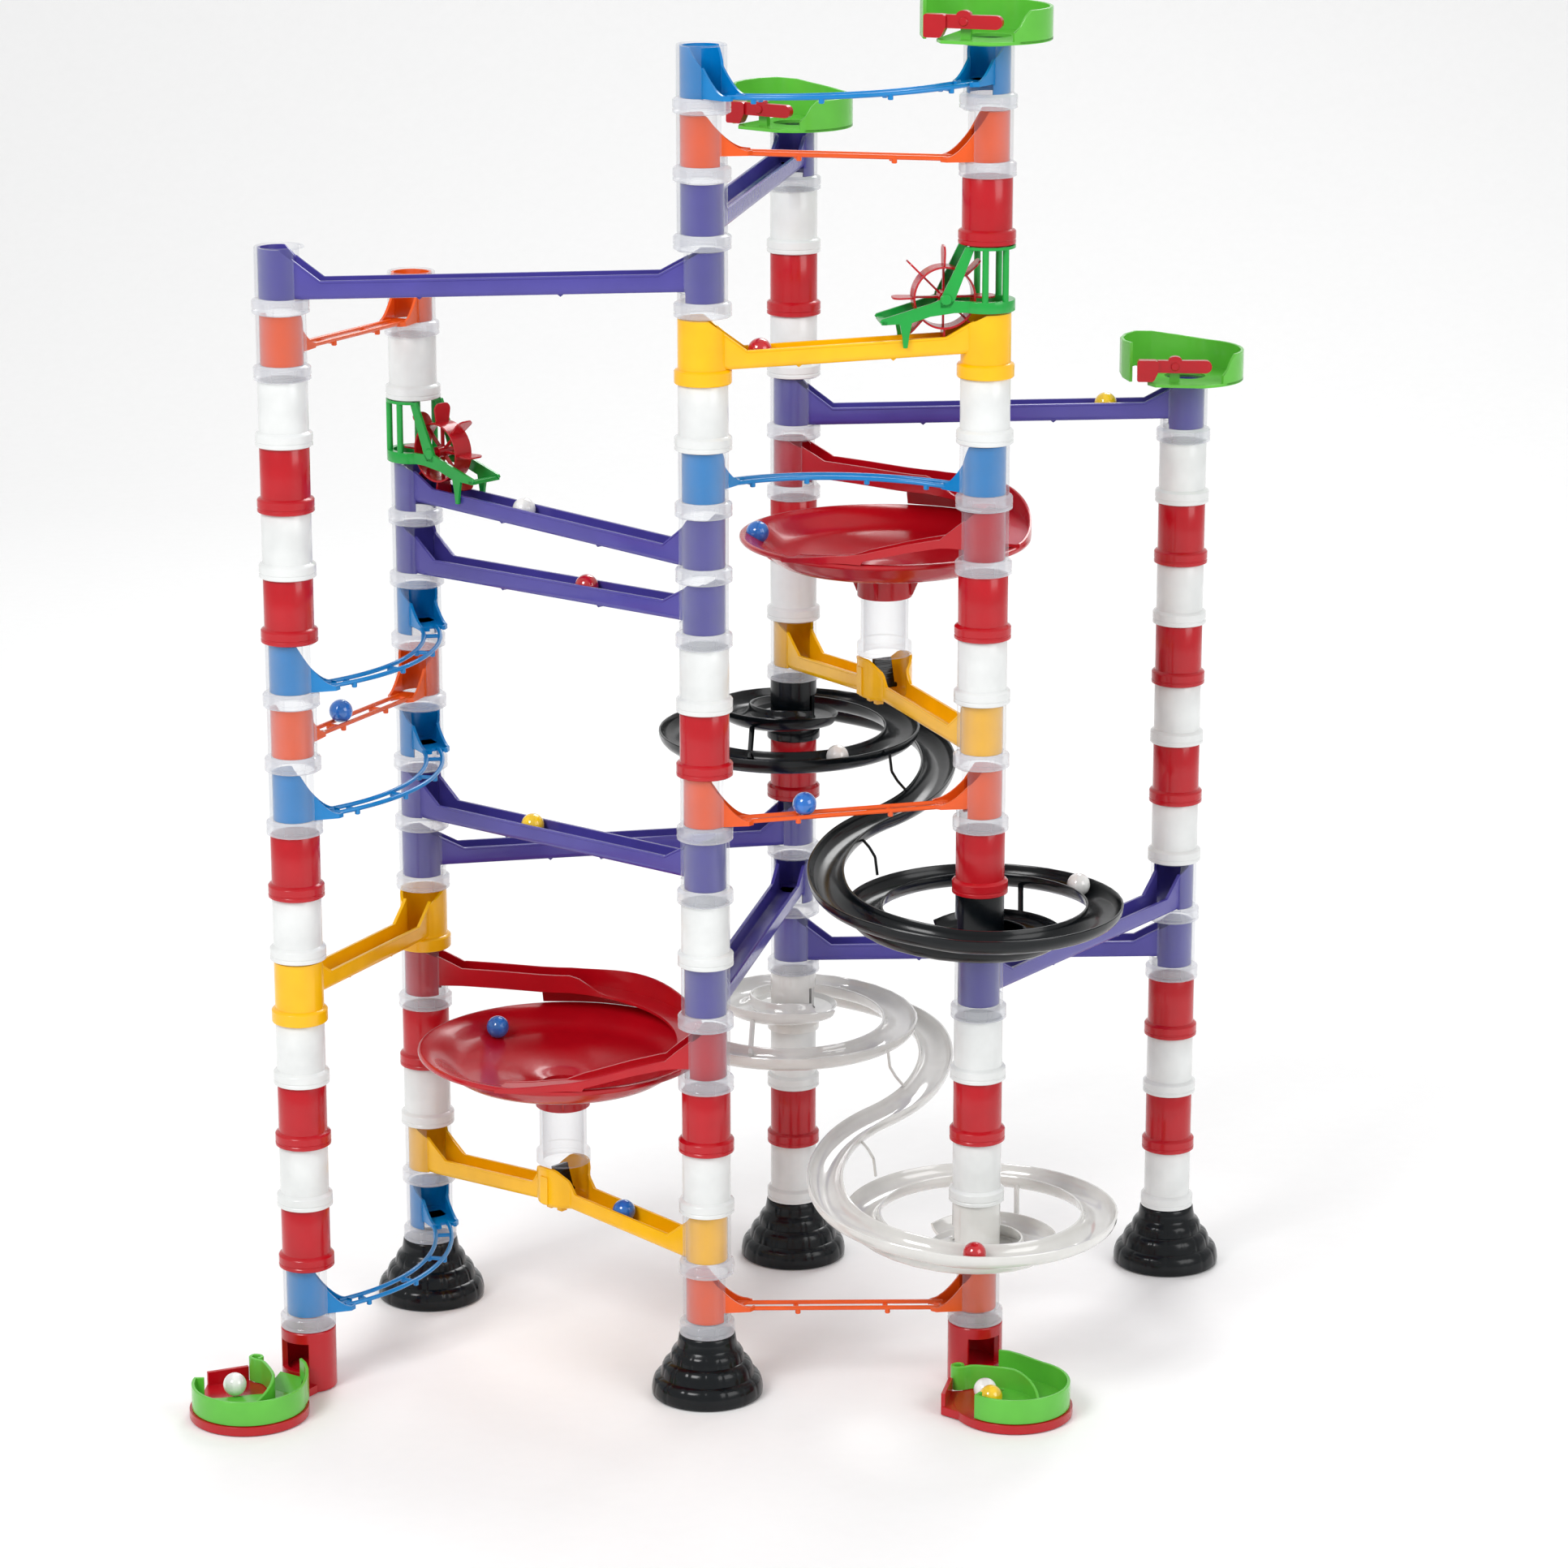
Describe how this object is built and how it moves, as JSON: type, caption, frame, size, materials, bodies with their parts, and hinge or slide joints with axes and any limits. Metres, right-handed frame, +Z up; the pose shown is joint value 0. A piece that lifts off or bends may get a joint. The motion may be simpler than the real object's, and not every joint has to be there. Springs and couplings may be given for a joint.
{
  "type": "marble run",
  "caption": "Tall marble run with towers of clear tubes joined by coloured troughs, wire rails, funnels, spiral tracks, paddle wheels and tipping flaps.",
  "frame": {"origin": "centre of the bounding box at floor level", "axes": "+Z up, -Y towards the front of the toy, +X to the right seen from the front"},
  "size_m": [0.6234, 0.4046, 0.8314],
  "materials": {
    "clear": "clear gloss plastic",
    "purple": "gloss",
    "orange": "gloss",
    "blue": "gloss, slightly see-through",
    "yellow": "gloss",
    "red": "gloss",
    "white": "milky, slightly see-through",
    "tray_green": "gloss",
    "bracket_green": "gloss",
    "black": "gloss",
    "marble_red": "glass",
    "marble_yellow": "glass"
  },
  "bodies": {
    "frame": {"rail_purple_d18_to_c18": "purple", "rail_purple_c17_to_a17": "purple", "rail_purple_f14_to_d14": "purple", "rail_purple_b13_to_c13": "purple", "rail_purple_c12_to_b12": "purple", "rail_purple_c8_to_b8": "purple", "rail_purple_b7_to_d7": "purple", "rail_purple_d6_to_c6": "purple", "rail_purple_e6_to_f6": "purple", "rail_purple_f5_to_d5": "purple", "rail_yellow_e16_to_c16": "yellow", "rail_yellow_a6_to_b6": "yellow", "rail_orange_c19_to_e19": "orange", "rail_orange_a16_to_b16": "orange", "rail_orange_a10_to_b10": "orange", "rail_orange_e9_to_c9": "orange", "rail_orange_c1_to_e1": "orange", "rail_blue_e20_to_c20": "blue", "rail_blue_c14_to_e14": "blue", "rail_blue_b11_to_a11": "blue", "rail_blue_b9_to_a9": "blue", "rail_blue_b1_to_a1": "blue", "fork_yellow_d10_to_e10": "yellow", "fork_yellow_b2_to_c2": "yellow", "funnel_d13_to_e13": "red", "funnel_b5_to_c5": "red", "black_spiral": "black", "white_spiral": "white", "drop_tube_d13": "clear", "drop_tube_b5": "clear", "tray_d": "tray_green", "tray_e": "tray_green", "tray_f": "tray_green", "wheel_bracket_e": "bracket_green", "wheel_bracket_b": "bracket_green", "base_b": "black", "base_c": "black", "base_d": "black", "base_f": "black", "exit_block_a": "red", "exit_block_e": "red", "collector_a": "tray_green", "collector_e": "tray_green", "tower_a_tubes": "clear", "tower_b_lower_tubes": "clear", "tower_b_upper_tubes": "clear", "tower_c_tubes": "clear", "tower_d_tubes": "clear", "tower_e_lower_tubes": "clear", "tower_e_upper_tubes": "clear", "tower_f_tubes": "clear"},
    "wheel_e": {"paddle_wheel_e": "red"},
    "wheel_b": {"paddle_wheel_b": "red"},
    "lever_d": {"gate_lever_d": "red"},
    "lever_e": {"gate_lever_e": "red"},
    "lever_f": {"gate_lever_f": "red"},
    "flap_upper": {"flap_d10": "black"},
    "flap_lower": {"flap_b2": "black"},
    "marble_red": {"marble_red": "marble_red"},
    "marble_yellow": {"marble_yellow": "marble_yellow"}
  },
  "joints": [
    {"name": "wheel_e_turn", "type": "hinge", "parent": "frame", "child": "wheel_e", "pos_m": [0.13011, -0.09653, 0.6625], "axis": [0.1696, -0.9855, 0], "continuous": true},
    {"name": "wheel_b_turn", "type": "hinge", "parent": "frame", "child": "wheel_b", "pos_m": [-0.17136, 0.0189, 0.547], "axis": [0.6428, 0.766, 0], "continuous": true},
    {"name": "lever_d_rock", "type": "hinge", "parent": "frame", "child": "lever_d", "pos_m": [0.01657, 0.09872, 0.7435], "axis": [0.515, 0.8572, 0], "range_deg": [0, 10]},
    {"name": "lever_e_rock", "type": "hinge", "parent": "frame", "child": "lever_e", "pos_m": [0.14085, -0.11536, 0.8205], "axis": [0.2756, 0.9613, 0], "range_deg": [0, 10]},
    {"name": "lever_f_rock", "type": "hinge", "parent": "frame", "child": "lever_f", "pos_m": [0.26995, 0.08943, 0.5895], "axis": [0, 1, 0], "range_deg": [0, 10]},
    {"name": "flap_upper_tip", "type": "hinge", "parent": "frame", "child": "flap_upper", "pos_m": [0.09535, 0.01255, 0.406], "axis": [0.8701, 0.4929, 0], "range_deg": [-8, 32]},
    {"name": "flap_lower_tip", "type": "hinge", "parent": "frame", "child": "flap_lower", "pos_m": [-0.0982, -0.04249, 0.098], "axis": [0.6428, 0.766, 0], "range_deg": [-8, 32]},
    {"name": "marble_red_roll", "type": "slide", "parent": "frame", "child": "marble_red", "axis": [-0.9845, -0.1694, -0.0447], "range_m": [-0.07, 0.009]},
    {"name": "marble_yellow_roll", "type": "slide", "parent": "frame", "child": "marble_yellow", "axis": [-0.9996, 0.0082, -0.0283], "range_m": [-0.018, 0.165]}
  ]
}
